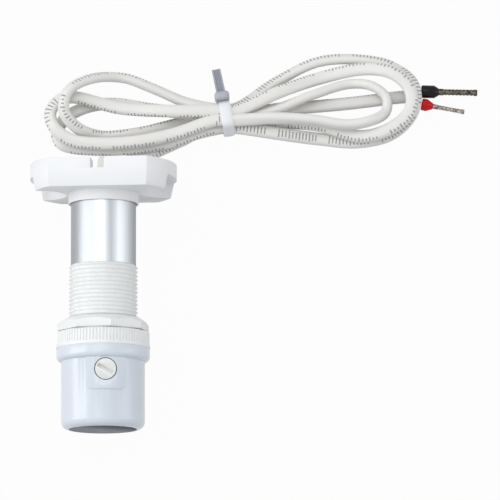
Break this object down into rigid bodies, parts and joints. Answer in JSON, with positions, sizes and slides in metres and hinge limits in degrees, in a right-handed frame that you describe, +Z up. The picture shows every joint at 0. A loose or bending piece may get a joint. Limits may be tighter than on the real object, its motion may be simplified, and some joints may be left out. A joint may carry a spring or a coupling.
{
  "type": "twilight sensor",
  "caption": "Threaded light sensor with a round screw base, lock nut, slotted adjuster, dark end window and a tied lead with two crimped ends.",
  "frame": {"origin": "middle of the sensor's outline on the table, without its lead: the sensor lies on its side", "axes": "+Z up, +Y along the sensor from the cap to the mounting base, +X to the side where the lead is tied"},
  "size_m": [0.1652, 0.1451, 0.0429],
  "materials": {
    "base_plastic": "fine satin",
    "tube_plastic": "fine satin",
    "label_foil": "brushed foil, bare",
    "gasket_rubber": "matte",
    "nut_plastic": "fine satin",
    "cap_plastic": "polished",
    "seal_rubber": "matte",
    "window_plastic": "polished, dark tint",
    "dial_plastic": "moulded",
    "trimmer_plastic": "moulded",
    "board_laminate": "solder mask",
    "detector_lens": "clear epoxy",
    "chip_plastic": "matte",
    "capacitor_can": "sleeved",
    "resistor_body": "matte",
    "plug_plastic": "fine satin",
    "grommet_rubber": "matte",
    "core_black": "satin",
    "core_red": "satin",
    "lead_jacket": "soft satin",
    "tie_plastic": "moulded",
    "collar_black": "polished",
    "collar_red": "polished",
    "pin_metal": "tin plated, crimped"
  },
  "bodies": {
    "root": {"mounting_base": "base_plastic", "body_tube": "tube_plastic", "foil_label": "label_foil", "sensor_cap": "cap_plastic", "cap_seal": "seal_rubber", "light_window": "window_plastic", "trimmer_body": "trimmer_plastic", "circuit_board": "board_laminate", "detector_board": "board_laminate", "light_detector": "detector_lens", "control_chip": "chip_plastic", "voltage_regulator": "chip_plastic", "capacitors": "capacitor_can", "resistors": "resistor_body", "rear_plug": "plug_plastic", "lead_grommet": "grommet_rubber", "black_core_inner": "core_black", "red_core_inner": "core_red", "lead_entry": "lead_jacket", "lead_hank": "lead_jacket", "lead_tail": "lead_jacket", "cable_tie": "tie_plastic", "black_core_end": "core_black", "red_core_end": "core_red", "black_collar": "collar_black", "red_collar": "collar_red", "black_pin": "pin_metal", "red_pin": "pin_metal"},
    "adjuster": {"adjuster_dial": "dial_plastic"},
    "gasket": {"nut_gasket": "gasket_rubber"},
    "nut": {"lock_nut": "nut_plastic"}
  },
  "joints": [
    {"name": "adjuster_turn", "type": "hinge", "parent": "root", "child": "adjuster", "pos_m": [0, -0.02848, 0.01656], "axis": [0.0958, -0.0655, 0.9932], "range_deg": [-140, 130]},
    {"name": "nut_travel", "type": "slide", "parent": "root", "child": "gasket", "axis": [0, 0.9978, 0.0658], "range_m": [0, 0.018]},
    {"name": "nut_turn", "type": "hinge", "parent": "gasket", "child": "nut", "pos_m": [0, 0.04811, 0.02161], "axis": [0, 0.9978, 0.0658], "range_deg": [0, 4320]}
  ],
  "couplings": [
    {"joint": "nut_travel", "follows": "nut_turn", "m_per_rad": 0.00023873}
  ]
}
